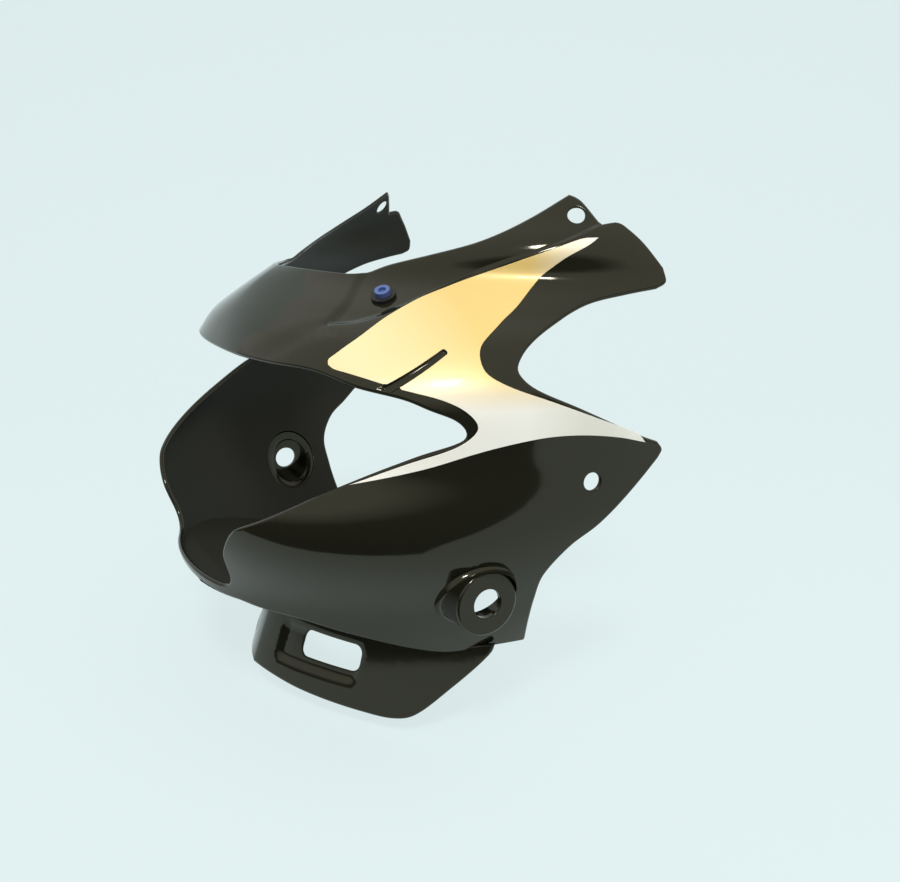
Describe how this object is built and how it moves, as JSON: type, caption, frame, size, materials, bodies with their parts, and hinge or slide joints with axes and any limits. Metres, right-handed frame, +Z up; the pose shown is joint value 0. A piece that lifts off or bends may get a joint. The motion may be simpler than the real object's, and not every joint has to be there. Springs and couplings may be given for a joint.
{
  "type": "headlight visor",
  "caption": "Motorbike headlight visor: thin moulded gloss black cowl with a nose, windscreen prongs, swept wings round the headlight opening, vented chin and coloured side stripes.",
  "frame": {"origin": "on the middle plane, midway between the two fixing holes, on their shared axis", "axes": "+X to the rider's left along the fixing hole axis, -Y to the front (nose), +Z up"},
  "size_m": [0.3342, 0.2177, 0.2824],
  "materials": {
    "gloss_black": "moulded plastic painted gloss black",
    "stripe_film": "vinyl film, gold blending to silver, clear coated",
    "rubber": "matt black rubber",
    "blue_metal": "blue anodised"
  },
  "bodies": {
    "root": {"visor_shell": "gloss_black", "stripe_left": "stripe_film", "stripe_right": "stripe_film", "well_nut_left": "rubber", "screw_left": "blue_metal"}
  },
  "joints": []
}
